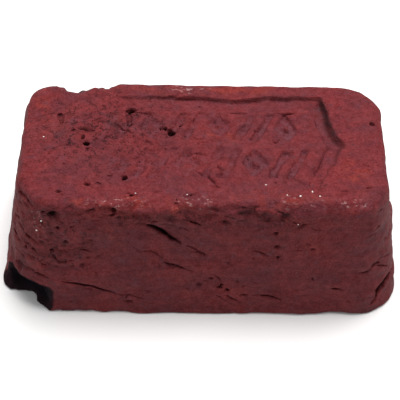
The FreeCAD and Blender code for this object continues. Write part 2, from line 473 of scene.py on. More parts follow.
CREST_SCOOPS = (  # centre, half-lengths, tilt
    ((-16.4, -21.3, 29.4), (2.4, 1.95, 1.4), 10),
    ((-7.4, -21.6, 28.4), (2.6, 1.95, 1.5), 25),
    ((2.8, -20.7, 31), (2.6, 1.45, 1), 8),
    ((5.2, -21.7, 27.8), (2.2, 1.85, 1.2), 15),
    ((10.6, -21.2, 30.2), (3.6, 1.95, 1.6), 8),
    ((14.6, -21.5, 29.4), (2.6, 2.05, 1.8), 20),
    ((18.8, -21.4, 29.6), (1.3, 1.95, 2.4), 35),
    ((-24.6, -21.2, 30.4), (2.2, 1.75, 1.1), -10),
    ((-34, -21.1, 29.4), (2.6, 1.95, 1.5), 20),
    ((-41, -20.4, 28.6), (1.6, 1.9, 1.2), 10),
    ((-30.4, -21.6, 28.6), (1.8, 1.9, 1.4), -20),
    ((-21.6, -20.6, 30.9), (2.8, 1.6, 0.8), 5),
    ((-13, -21.4, 29.6), (1.6, 1.9, 1.2), 30),
)
CREST_DENTS = 56  # small ones, at random
RIM_DENTS = (
    ((-31, 25, 37), (6.4, 9.5, 9), 0),
    ((-25.6, 25, 39.2), (11, 9.5, 9.6), 0),
    ((-23.2, 21.6, 31.8), (0.8, 2.6, 1.6), 0),
)

FRONT_FOLDS = (  # points, reach, depth, undercut, lip; a lip of 0.1 is left out
    (((-13.7, 26.9), (-11.5, 26), (-9.2, 24.2), (-7, 22.4), (-4.5, 20.7)), 2, 1.3, 0.3, 0.45),
    (((-4.6, 21), (-2.5, 20.1), (-0.2, 18.5), (2.4, 17.3)), 1.2, 0.8, 0.3, 0.15),
    (((-14.4, 18.9), (-11.4, 17.9), (-8, 15.6)), 0.9, 0.8, 0.3, 0.12),
    (((-9.4, 15.6), (-6.8, 14.7), (-4.4, 14), (-0.4, 12.7)), 0.8, 0.7, 0.3, 0.2),
    (((-33.8, 9.8), (-28.4, 8.7), (-23.6, 7.6), (-18.2, 6)), 0.8, 1.7, 0.6, 0.12),
    (((-19.5, 6.5), (-16, 5.3), (-12, 3.7)), 0.7, 0.9, 0.5),
    (((-4.6, 27.9), (-2.2, 27.3), (0, 26.9)), 0.8, 2, 0.4, 0.25),
    (((-6, 25.3), (-2.4, 25.1)), 0.6, 0.8, 0.3),
    (((0.6, 30.9), (2.9, 30.8), (5.2, 30)), 1.1, 0.9, 0.3, 0.15),
    (((3.2, 27.9), (4.9, 27.5), (6.8, 27)), 1.1, 1.1, 0.3, 0.15),
    (((14.6, 29.4), (10.9, 31), (8.9, 31.4), (6.6, 30.6)), 1.3, 0.9, 0.2),
    (((20.8, 28.2), (19.4, 29.5), (18, 30.8), (16.2, 31.5)), 1.4, 1.6, 0.3),
    (((11, 19.6), (13.6, 18.2), (16.4, 17.3)), 0.9, 1.1, 0.3, 0.12),
    (((2.2, 13.2), (3.6, 11.6), (4.9, 9.2)), 0.7, 0.8, 0.3),
    (((2.8, 6), (5, 4.7), (7.6, 2.9)), 0.7, 1, 0.4),
    (((5, 6.1), (7.6, 4.7), (10, 3.5)), 0.7, 1.3, 0.4),
    (((11, 6.3), (14.8, 6), (18.2, 4.9), (21.8, 2.8)), 0.7, 1.5, 0.5),
    (((30, 8.1), (31.8, 8), (33.8, 7.3)), 0.7, 1.3, 0.5),
    (((36.2, 12.2), (39.1, 12.4), (40.7, 13.7)), 0.7, 1, 0.2),
    (((40.4, 13.6), (41.6, 12.7), (44.2, 10.4)), 0.7, 1.4, 0.3, 0.2),
    (((-42.8, 31), (-39.5, 29.6), (-36.6, 30.2)), 1, 0.7, 0.2),
    (((-31.6, 30.2), (-29.2, 29.2), (-26.4, 29.9)), 1.1, 0.6, 0.2),
    (((-21, 28.6), (-18.6, 29.6), (-16.2, 29.2)), 0.9, 0.7, 0.3),
    (((23, 27.2), (26, 25.9), (29.2, 25.8)), 0.8, 0.4, 0.2),
)
FRONT_SLITS = (  # points, half-width, depth, lean
    (((-46.6, 7.6), (-45, 9.1), (-43, 10.2), (-40.8, 11.2), (-38.8, 11.6)), 0.8, 4.5, 0.4),
    (((-39.6, 11.5), (-38, 11.1), (-35.6, 10.6)), 0.25, 1.2, 0.4),
    (((-12.9, 26.7), (-11.3, 25.8), (-9.1, 24.1), (-6.9, 22.3), (-4.9, 20.9)), 0.5, 3.2, -0.3),
    (((-8.9, 15.4), (-6.6, 14.6), (-3.8, 13.9)), 0.34, 1.8, -0.2),
    (((8.7, 6.1), (11.2, 6.1)), 0.28, 1.4, 0.4),
    (((41.9, 13.3), (40.7, 13.7), (39.6, 13.1)), 0.4, 1.6, -0.3),
    (((45.3, 7.8), (43.6, 6.9), (42.4, 5.8), (41.9, 4.6)), 1, 2.4, 0.2),
    (((42, 4.9), (41.5, 3.6), (40.2, 2.6)), 0.35, 1.2, 0.2),
    (((-18.6, 3.8), (-16, 3.7)), 0.35, 1.2, 0.2),
    (((-34.8, 17.6), (-34, 16.4), (-32.4, 15.6)), 0.45, 1.6, 0.1),
    (((-36.2, 15.2), (-35.2, 14.6)), 0.3, 1, 0.1),
)
FRONT_PITS = (  # X, Z, half-width, half-height, depth
    (-25.1, 30.6, 0.9, 0.45, 1.2),
    (-34.4, 28.7, 0.7, 0.35, 0.9),
    (-35.9, 29.4, 0.4, 0.3, 0.6),
    (-32.4, 28.2, 0.4, 0.3, 0.6),
    (-32.8, 25.5, 0.5, 0.45, 1.4),
    (-36.5, 26.7, 0.4, 0.35, 0.9),
    (-41.1, 25.9, 0.4, 0.35, 0.9),
    (-41.4, 29.3, 0.6, 0.35, 1),
    (-34.4, 18.6, 0.45, 0.3, 1),
    (-40.6, 17, 0.35, 0.45, 0.8),
    (-17.6, 5.2, 0.35, 0.3, 0.8),
    (16.9, 24.7, 0.5, 0.4, 1.4),
    (17.6, 17.4, 0.35, 0.3, 0.9),
    (4.5, 8.3, 0.6, 0.45, 1.5),
    (6.3, 7.6, 0.5, 0.35, 1.3),
    (8.6, 10.2, 0.4, 0.35, 1.1),
    (2.4, 11.2, 0.6, 0.35, 1.1),
    (5, 9.2, 0.5, 0.3, 0.9),
    (-23.5, 17, 0.3, 0.3, 0.7),
    (-24.5, 12.6, 0.3, 0.3, 0.7),
)
TOP_FOLDS = (  # the same; undercut and lip are left out where both are 0.1
    (((-32.4, 21), (-33.6, 17.5), (-33, 14)), 1.4, 0.7, 0.1, 0.3),
    (((-30.6, 4.7), (-28.6, 4.2), (-25.2, 4.4)), 0.9, 1.9, 0.2, 0.2),
    (((-21.6, 7.6), (-19.8, 5.5), (-18.4, 4.2), (-15.8, 2.6)), 0.9, 1.8, 0.2, 0.2),
    (((-9, 10.6), (-6.8, 11.4), (-3.8, 11.6)), 0.9, 1.1, 0.2, 0.15),
    (((-17, 10.9), (-14, 10.2), (-12, 10.4), (-10, 9.5)), 0.9, 1.1),
    (((-5.2, 1), (-2, 1.2), (1.4, 1.5)), 0.6, 0.6),
    (((-10.4, -1.4), (-8.4, -0.6), (-6.2, -0.7)), 0.6, 0.7),
    (((-2.4, -8.2), (-0.2, -10), (1.8, -11.8), (4.6, -14.6)), 0.9, 1.3),
    (((-27.4, 0.8), (-24, 1.4), (-20.2, 1.9)), 0.6, 0.6),
    (((-15, 4.6), (-12.6, 3.7)), 0.6, 0.6),
    (((13.2, 11.2), (15.4, 10.8), (18, 10.7), (21.4, 10.9), (24, 11.5)), 0.9, 1.2),
    (((5.8, 11.2), (8.2, 10.9), (11.2, 11.3)), 0.8, 1),
    (((28.8, -1.4), (27.6, -4.8), (26.2, -7.8), (23.8, -13.6)), 1, 0.9),
    (((-34.4, -2.4), (-31.6, -1.2), (-30.4, -2.8)), 0.8, 0.8),
    (((0.6, 10.8), (-1.6, 9.6), (-2.4, 6.8), (-1, 3.6)), 0.8, 0.7),
    (((-9.4, 8.4), (-10, 5.2), (-8.6, 2.2)), 0.8, 0.8),
    (((8.6, -3), (10.4, -4.6), (10.2, -8)), 0.8, 0.8),
    (((-4.2, -4.4), (-2, -3.2), (0.8, -3.8), (1.6, -5.6)), 0.8, 0.8),
    (((-10.6, 15.8), (-6, 16.2), (-1, 16)), 0.9, 0.6),
    (((-22.4, 16), (-19.6, 16.8), (-16.8, 16.6)), 0.8, 0.8, 0.2),
)
TOP_SLITS = (  # points, half-width, depth
    (((13.6, 11.1), (16.8, 10.6), (19, 10.5), (22.8, 10.9)), 0.34, 1.3),
    (((6.6, 11.3), (8.8, 11), (10.8, 11.2)), 0.3, 1),
    (((-17.4, 10.9), (-14, 10.2), (-11, 10.3)), 0.34, 1.2),
    (((-30, 4.5), (-27.6, 3.9), (-25, 4.1)), 0.34, 1.3),
    (((-20.9, 6.6), (-19.2, 5), (-17.4, 3.5)), 0.34, 1.3),
    (((-10.4, 5.6), (-8.8, 5), (-7.2, 2.9)), 0.3, 1),
    (((4.2, -5.8), (3.4, -7.2), (4.4, -8.6), (4, -10.4)), 0.28, 0.9),
    (((16.2, 1.6), (17, 0.4), (18.2, 1.2)), 0.25, 0.8),
    (((-31.6, 3.7), (-30.2, 3.9)), 0.3, 0.9),
    (((28.2, -6.4), (29.8, -6), (31, -5.2)), 0.22, 0.6),
)
TOP_PITS = (  # X, Y, half-length, half-width, depth
    (-33.5, 8.2, 0.8, 0.8, 1.5),
    (-33.2, 6.2, 0.4, 0.7, 0.8),
    (-27.8, 1.4, 0.5, 0.5, 1.3),
    (-27.2, -0.3, 0.65, 0.45, 1.2),
    (-17, 10.9, 1.2, 0.9, 2.4),
    (-27.2, 8.3, 0.6, 0.9, 0.9),
    (-15.4, 0.9, 0.6, 1.2, 0.5),
    (-17.2, 6.9, 0.6, 0.6, 1.4),
    (-17.6, 8.6, 0.6, 1.4, 0.6),
    (-5.1, 6.3, 0.6, 0.5, 1.3),
    (-7.8, 3.9, 0.7, 0.9, 1.1),
    (-8.8, 5, 0.5, 0.5, 0.9),
    (-18, -10.9, 0.75, 0.6, 1.3),
    (-18.2, -9.4, 0.35, 0.35, 0.8),
    (-32.4, -15.5, 0.6, 0.5, 1.1),
    (-35.6, -4.2, 0.35, 0.35, 0.7),
    (-26.8, -1.9, 0.45, 0.35, 0.8),
    (-14.6, -5.4, 0.3, 0.3, 0.7),
    (-8.8, -6.6, 0.35, 0.5, 0.9),
    (40.3, 7.1, 0.7, 0.6, 0.8),
    (17.8, 4.8, 0.35, 0.35, 0.7),
    (12.4, 4.6, 0.3, 0.3, 0.6),
    (3, 7.6, 0.4, 0.4, 0.7),
)
SCATTERED = (  # side, two ranges over it, pits, short tears, the tears' slope in degrees
    ("front", (-44, -24), (14, 31), 90, 24, 0),
    ("front", (-24, 24), (26, 31.5), 20, 26, 0),
    ("front", (-40, 44), (2, 26), 18, 16, -22),
    ("top", (-38, -2), (-17, 14), 50, 20, 0),
    ("top", (-2, 38), (-17, 17), 7, 10, 0),
    ("back", (4 - LENGTH / 2, LENGTH / 2 - 4), (2, 30), 110, 60, -22),
    ("left", (4 - WIDTH / 2, WIDTH / 2 - 4), (2, 30), 50, 26, -22),
    ("right", (4 - WIDTH / 2, WIDTH / 2 - 4), (2, 30), 50, 26, -22),
)
OTHER_FOLDS = (  # side, points, reach, depth, undercut, lip
    ("back", ((-30, 24), (-12, 20), (6, 15), (24, 11)), 1.8, 1.6, 0.5, 0.3),
    ("back", ((8, 8), (18, 6.5), (30, 3)), 1.2, 1.4, 0.4, 0.2),
    ("right", ((-14, 22), (-4, 19), (8, 13)), 1.4, 1.3, 0.4, 0.25),
    ("left", ((16, 9), (4, 13), (-8, 12)), 1.2, 1.2, 0.4, 0.2),
)


def tear_corner(clay):
    """The front left corner of the foot is torn out, under a thin flap."""
    clay.swell((-45.4, -14.6, 0.8), (2.2, 3.2, 1.8))
    slices, x, y, z, _ = clay.window((-50, -27, -1.5), (-32, -11, 13))
    rough = clay.waves(21, 3.2, 3.2, 3.2)[slices] * 0.45 + clay.rough[slices] * 0.2
    outline_x, outline_y = zip(*TORN_OUTLINE)
    behind = (y - np.interp(x, outline_x, outline_y)) * 0.75
    beside = x - TORN_RIGHT_WALL
    roof = z - (TORN_ROOF - 0.3 * np.maximum(-42.5 - x, 0))
    scooped = 2.2 * smooth_step(0, 3.5, z)  # the back wall leans in over the ground
    void = soft_max(soft_max(behind - scooped, beside, 0.8) + rough, roof + 0.5 * rough, 1.0)
    clay.cut(slices, void, 0.3)
    clay.from_tear[slices] = void


def wear_crest(clay, rng):
    """Knocks small flats and scoops off the edge round the top."""
    half_x, half_y = TOP_LENGTH / 2, TOP_WIDTH / 2
    for _ in range(CREST_DENTS):
        along = rng.uniform(-1, 1)
        far = rng.choice((-1, 1))
        if rng.random() < 0.6:
            centre = (along * (half_x - 5), far * (half_y + 0.9), HEIGHT + 0.9 + 0.8 * (far > 0))
            half = (rng.uniform(1.5, 6), rng.uniform(0.9, 1.5), rng.uniform(0.9, 1.5))
        else:
            centre = (far * (half_x + 0.9), along * (half_y - 5), HEIGHT + 0.9)
            half = (rng.uniform(0.9, 1.5), rng.uniform(1.5, 5), rng.uniform(0.9, 1.5))
        clay.dent(np.array(centre) + [*TOP_SHIFT, 0], half, soften=0.8)


def shape_back_rim(clay):
    """The rim sags beside the lobe, which swells up at the corner."""
    clay.swell((-38.0, 15.2, 26.9), (4.8, 6.0, 6.2))
    for centre, half, tilt in RIM_DENTS:
        clay.dent(centre, half, tilt, soften=0.9)


def scatter(clay, rng, side, u_range, v_range, pits, folds, dip):
    """Small ragged pits and short tears, sloping by about dip degrees, at random over part of a side."""
    for _ in range(pits):
        u, v = rng.uniform(*u_range), rng.uniform(*v_range)
        size = 0.2 + 0.35 * rng.random() ** 3
        shape = size * rng.uniform(0.7, 2.0), size * rng.uniform(0.6, 1.1), size * rng.uniform(0.7, 1.6)
        clay.pit(side, u, v, *shape)
    for _ in range(folds):
        u, v = rng.uniform(*u_range), rng.uniform(*v_range)
        angle = math.radians(rng.normal(dip, 16))
        length = 1.5 + 5 * rng.random() ** 2
        bend = rng.uniform(-0.15, 0.15) * length
        points = [
            (u + s * length * math.cos(angle), v + s * length * math.sin(angle) + bend * (s * s - 0.25))
            for s in (-0.5, -0.2, 0.2, 0.5)
        ]
        if rng.random() < 0.3:
            points.reverse()
        clay.fold(side, points, rng.uniform(0.5, 1.1), rng.uniform(0.25, 0.9), rng.uniform(0, 0.5), 0.06)


def mark_damage(clay):
    """Every tear, fold, slit and pit."""
    rng = np.random.default_rng(5)
    wear_crest(clay, rng)
    for centre, half, tilt in CREST_SCOOPS:
        clay.dent(centre, half, tilt, soften=0.4)
    shape_back_rim(clay)
    for side, folds, slits, pits in (
        ("front", FRONT_FOLDS, FRONT_SLITS, FRONT_PITS),
        ("top", TOP_FOLDS, TOP_SLITS, TOP_PITS),
    ):
        for fold in folds:
            clay.fold(side, *fold)
        for slit in slits:
            clay.slit(side, *slit)
        for pit in pits:
            clay.pit(side, *pit)
    tear_corner(clay)
    for area in SCATTERED:
        scatter(clay, rng, *area)
    for fold in OTHER_FOLDS:
        clay.fold(*fold)


# ---- lumps ----

def lump_spaces(clay):
    """The space that each smaller lump fills, as fields."""
    wander = clay.waves(31, 4, 4, 4) * 0.7 + clay.waves(32, 1.8, 1.8, 1.8) * 0.15
    x, y, z = clay.x, clay.y, clay.z
    return {
        "lower_front_tongue": plane_distance(x, y, z, TONGUE_POINTS) + wander * 0.3,
        "front_slug": ellipsoid_distance(x, y, z, **FRONT_SLUG) + wander,
        "corner_slug": ellipsoid_distance(x, y, z, **CORNER_SLUG) + wander * 0.6,
        "back_left_lobe": ellipsoid_distance(x, y, z, **BACK_LEFT_LOBE) + wander,
    }


def divide(clay):
    """The field of each lump, by node name."""
    fields = {}
    main = clay.field
    for name, space in lump_spaces(clay).items():
        fields[name] = np.maximum(clay.field, space - LAP_OVERLAP)
        main = np.maximum(main, -space - LAP_OVERLAP)
    fields["main_slug"] = main
    return fields


# ---- where the clay was smeared, scuffed (dust with painted highlights) and crazed: centre and half-lengths of each patch ----

SMEARS = (
    ((-16.5, -18.2, 32), (9, 2.6, 2.5)),
    ((-18.8, -21, 26), (2.6, 3, 5.5)),
    ((-8, -20, 30.5), (6, 2, 1.6)),
    ((18, -17.6, 32), (9, 2, 2)),
    ((35.5, -9, 32.5), (3, 5.5, 2.5)),
    ((5, 2.5, 32.5), (5, 1.6, 2)),
    ((-38, 10, 31), (6, 7, 4)),
    ((-26, -18.6, 31.5), (5, 2, 2)),
    ((0, 18.5, 32.5), (26, 1.8, 2)),
)
# scuffed patches: pale dust, partly painted highlights on the crest
SCUFFS_AND_HIGHLIGHTS = (
    ((-19.5, -18.8, 31.8), (5.5, 1.3, 1.2)),
    ((-4.5, -18.6, 32), (2.6, 1.4, 1.3)),
    ((0.5, -18.8, 31.8), (2, 1.6, 1.4)),
    ((22, -18.2, 32), (4, 1.6, 1.3)),
    ((34, -18.4, 31.8), (4, 1, 1.1)),
    ((-4, 18.6, 32.5), (4.5, 1.2, 1.2)),
    ((43.6, -6, 22), (1.3, 7, 6)),
    ((-37.5, -19.8, 26.8), (2, 2, 2.6)),
)
CRAZED = (
    ((-35, -21, 22), (9, 5, 9)),
    ((-24, 4, 32.5), (16, 12, 2)),
    ((-6, -21, 28.5), (14, 2.5, 2.6)),
    ((14, -21, 29), (10, 2.5, 2.6)),
    ((10, 24, 16), (16, 4, 8)),
    ((-46, 5, 18), (3, 10, 8)),
)


def patch_share(points, patches):
    """How strongly each point lies in the nearest of some patches, from 0 to 1."""
    share = np.zeros(len(points))
    for centre, half in patches:
        share = np.maximum(share, np.exp(-(((points - centre) / half) ** 2).sum(1)))
    return share


def keep_on_points(mesh, name, values):
    """Keeps one number on each point of a mesh."""
    attribute = mesh.attributes.new(name, "FLOAT", "POINT")
    attribute.data.foreach_set("value", values.astype(np.float32))


def keep_history(mesh, clay):
    """Keeps on the mesh what happened to each point of the clay."""
    flat = np.empty(3 * len(mesh.vertices), dtype=np.float32)
    mesh.vertices.foreach_get("co", flat)
    points = flat.reshape(-1, 3) / MM
    # depth under the skin: the material paints shade by it
    keep_on_points(mesh, "torn", -clay.sample(clay.skin, points))
    # painted shade over the torn corner's cut walls
    keep_on_points(mesh, "cavity_shaded", smooth_step(0.7, 0.2, clay.sample(clay.from_tear, points)))
    columns = ((points[:, :2] - clay.low[:2]) / clay.pitch).round().astype(int)
    near_top = smooth_step(HEIGHT - 4, HEIGHT - 3, points[:, 2])
    keep_on_points(mesh, "pressed", clay.press[tuple(columns.T)] * near_top)
    # painted shade on the groove's outer wall
    keep_on_points(mesh, "grimed", clay.grime[tuple(columns.T)] * near_top)
    # painted shade on the sides below the top
    keep_on_points(mesh, "side_shaded", smooth_step(HEIGHT - 1, HEIGHT - 4, points[:, 2]))
    keep_on_points(mesh, "smeared", patch_share(points, SMEARS))
    # scuffs, partly dust and partly painted highlights
    keep_on_points(mesh, "scuffed_and_highlit", patch_share(points, SCUFFS_AND_HIGHLIGHTS))
    keep_on_points(mesh, "crazed", patch_share(points, CRAZED))


# ---- meshes ----

def island_labels(count, faces):
    """A number for each point, the same for all the points of one connected part of a mesh."""
    label = np.arange(count)
    edges = np.concatenate([np.stack([faces[:, i - 1], faces[:, i]], 1) for i in range(faces.shape[1])])
    while True:
        lowest = np.minimum(label[edges[:, 0]], label[edges[:, 1]])
        spread = label.copy()
        np.minimum.at(spread, edges[:, 0], lowest)
        np.minimum.at(spread, edges[:, 1], lowest)
        spread = spread[spread]
        if np.array_equal(spread, label):
            return label
        label = spread


def surface(field, low, pitch):
    """Points in mm and four-sided faces of the surface where the field is zero."""
    band = 3 * pitch
    grid = openvdb.FloatGrid(band)
    grid.copyFromArray(np.clip(field, -band, band).astype(np.float32))
    points, triangles, quads = grid.convertToPolygons(0.0, 0.0)
    triangles = np.concatenate([triangles, triangles[:, 2:]], axis=1)
    faces = np.concatenate([quads, triangles]).astype(np.int64)
    label = island_labels(len(points), faces)
    kept = label == np.bincount(label).argmax()
    faces = faces[kept[faces[:, 0]]]
    renumber = np.cumsum(kept) - 1
    return points[kept] * pitch + low, renumber[faces]


def new_mesh(name, points, faces):
    """A Blender mesh from points in mm and faces of three or four corners."""
    mesh = bpy.data.meshes.new(name)
    corners = [face[:3] if face[3] == face[2] else face for face in faces.tolist()]
    mesh.from_pydata((points * MM).tolist(), [], corners)
    return mesh


def fewer_faces(piece, target):
    """Collapses the mesh to about that many triangles, keeping them where the shape is busy."""
    triangles = sum(len(p.vertices) - 2 for p in piece.data.polygons)
    if triangles > target:
        modifier = piece.modifiers.new("fewer_faces", "DECIMATE")
        modifier.ratio = target / triangles
        seen = piece.evaluated_get(bpy.context.evaluated_depsgraph_get())
        piece.data = bpy.data.meshes.new_from_object(seen)
        piece.modifiers.clear()


def add_piece(name, data):
    """A new object in the scene, on that mesh, light or camera."""
    piece = bpy.data.objects.new(name, data)
    bpy.context.scene.collection.objects.link(piece)
    return piece


def make_lump(name, field, clay, material):
    """One lump of clay, from its field."""
    near = np.argwhere(field < 2 * clay.pitch)
    first, last = np.maximum(near.min(0) - 3, 0), near.max(0) + 4
    cropped = field[tuple(slice(a, b) for a, b in zip(first, last))]
    points, faces = surface(cropped, clay.low + first * clay.pitch, clay.pitch)
    piece = add_piece(name + "_clay", new_mesh(name + "_clay", points, faces))
    fewer_faces(piece, FACES_PER_LUMP[name])
    keep_history(piece.data, clay)
    piece.data.shade_smooth()
    piece.data.materials.clear()
    piece.data.materials.append(material)
    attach(piece, "root")
    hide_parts(name)


# ---- grit ----

def islands(points, faces):
    """The separate bodies of a mesh, each as the points that it uses."""
    places, where = np.unique(np.round(points, 6), axis=0, return_inverse=True)
    label = island_labels(len(places), where.ravel()[faces])
    return [places[label == one] for one in np.unique(label)]


def crumb(rng, low, high):
    """Points and faces of one rough crumb in the box between two corners."""
    ball = bmesh.new()
    bmesh.ops.create_icosphere(ball, subdivisions=3, radius=1)
    points = np.array([v.co for v in ball.verts])
    faces = np.array([[v.index for v in f.verts] for f in ball.faces])
    ball.free()
    for _ in range(9):  # flat chips off the ball
        facing = rng.standard_normal(3)
        facing /= np.linalg.norm(facing)
        over = np.maximum(points @ facing - rng.uniform(0.55, 0.85), 0)
        points -= over[:, None] * facing
    points *= 1 + 0.08 * rng.standard_normal((len(points), 1))
    points *= rng.uniform(0.6, 1.0, 3)
    return (low + high) / 2 + points * (high - low) / 2 * CRUMB_SWELL, faces


def settle(clay, middle):
    """The way from a point near the surface of the clay to where half a crumb is sunk in it, in mm."""
    reach = 0.4 * np.eye(3)
    slope = clay.sample(clay.field, middle + reach) - clay.sample(clay.field, middle - reach)
    above = clay.sample(clay.field, middle[None])[0]
    return -above * slope / np.linalg.norm(slope)


def make_grit(clay, material):
    """One crumb for each of the grit node's bodies, moved in or out to sit on the rumpled clay."""
    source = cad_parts["grit_crumbs"].data
    source.calc_loop_triangles()
    points = np.array([v.co for v in source.vertices])
    faces = np.array([t.vertices for t in source.loop_triangles])
    rng = np.random.default_rng(7)
    all_points, all_faces, used = [], [], 0
    for body in islands(points, faces):
        crumb_points, crumb_faces = crumb(rng, body.min(0), body.max(0))
        moved = settle(clay, crumb_points.mean(0) / MM)
        all_points.append(crumb_points + moved * MM)
        all_faces.append(crumb_faces + used)
        used += len(crumb_points)
    mesh = bpy.data.meshes.new("grit")
    mesh.from_pydata(np.concatenate(all_points).tolist(), [], np.concatenate(all_faces).tolist())
    mesh.shade_smooth()
    mesh.materials.append(material)
    piece = add_piece("grit", mesh)
    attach(piece, "root")
    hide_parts("grit_crumbs")


# ---- materials ----

class Recipe:
    """One material's node tree, with short ways to add to it. Sizes are in mm."""

    def __init__(self, name, roughness, specular):
        self.material = bpy.data.materials.new(name)
        self.material.use_nodes = True
        self.tree = self.material.node_tree
        self.shader = self.tree.nodes["Principled BSDF"]
        self.shader.inputs["Roughness"].default_value = roughness
        self.shader.inputs["Specular IOR Level"].default_value = specular
        self.place = self.tree.nodes.new("ShaderNodeTexCoord").outputs["Object"]

    def node(self, kind, inputs, **settings):
        """A new node with those settings, its sockets linked to outputs or given plain values."""
        node = self.tree.nodes.new(kind)
        for name, value in settings.items():
            setattr(node, name, value)
        for socket, value in inputs.items():
            if isinstance(value, bpy.types.NodeSocket):
                self.tree.links.new(value, node.inputs[socket])
            else:
                node.inputs[socket].default_value = value
        return node

    def noise(self, size, detail=3.0, stretch=(1, 1, 1), shift=0.0):
        """Cloudy values round 0.5, with features of about that size, longer where stretch is under 1."""
        inputs = {"Vector": self.place, "Scale": stretch, "Location": (shift, shift, shift)}
        place = self.node("ShaderNodeMapping", inputs).outputs[0]
        inputs = {"Vector": place, "Scale": 1 / (size * MM), "Detail": detail, "Roughness": 0.6}
        return self.node("ShaderNodeTexNoise", inputs).outputs["Fac"]

    def cells(self, size):
        """The distance to the nearest of many scattered points."""
        inputs = {"Vector": self.place, "Scale": 1 / (size * MM)}
        return self.node("ShaderNodeTexVoronoi", inputs).outputs["Distance"]

    def fissures(self, size, shift):
        """1 along short wandering lines, falling to 0 beside them."""
        level = self.noise(size, 3, shift=shift)
        line = self.product(self.ramp(level, 0.475, 0.5), self.ramp(level, 0.5, 0.525, 1, 0))
        return self.product(line, self.ramp(self.noise(0.8 * size, 2, shift=shift + 1), 0.5, 0.62))

    def kept(self, name):
        """A value that the mesh keeps on its points."""
        return self.node("ShaderNodeAttribute", {}, attribute_name=name).outputs["Fac"]

    def ramp(self, value, low, high, start=0.0, end=1.0):
        """Goes smoothly from start to end as the value goes from low to high."""
        inputs = {"Value": value, "From Min": low, "From Max": high, "To Min": start, "To Max": end}
        return self.node("ShaderNodeMapRange", inputs, interpolation_type="SMOOTHSTEP").outputs[0]

    def sum(self, *values):
        return self.combine("ADD", values)

    def product(self, *values):
        return self.combine("MULTIPLY", values)

    def combine(self, operation, values):
        """All the values added up or multiplied together."""
        total = values[0]
        for value in values[1:]:
            total = self.node("ShaderNodeMath", {0: total, 1: value}, operation=operation).outputs[0]
        return total

    def mix(self, share, below, above, blend="MIX"):
        """One colour over another."""
        inputs = {0: share, 6: below, 7: above}
        return self.node("ShaderNodeMix", inputs, data_type="RGBA", blend_type=blend).outputs[2]

    def bump(self, height, deep, below=None):
        """Bumps of that height in mm, over an earlier set."""
        inputs = {"Height": height, "Distance": deep * MM}
        if below:
            inputs["Normal"] = below
        return self.node("ShaderNodeBump", inputs).outputs[0]

    def feed(self, socket, value):
        """Links an output to one of the shader's own sockets."""
        self.tree.links.new(value, self.shader.inputs[socket])


WINE = (0.108, 0.0154, 0.0212, 1)
RED = (0.16, 0.0202, 0.0226, 1)
MAUVE = (0.1, 0.0285, 0.0385, 1)
ORANGE = (0.2, 0.0225, 0.017, 1)
# pale scuff colour: partly dust, partly painted highlight
DUST_AND_HIGHLIGHT = (0.44, 0.26, 0.25, 1)
SHADE = (0.010, 0.005, 0.006, 1)
# painted shade, near black, for the torn corner's cut walls
CAVITY_SHADE = (0.008, 0.0062, 0.0085, 1)
# painted shade: the sides below the top are multiplied by the first of these
SIDE_SHADE = (0.885, 1.02, 0.99, 1)  # these three multiply the colour
DARKER = (0.7, 0.4, 0.43, 1)
LIGHTER = (1.3, 1.6, 1.57, 1)


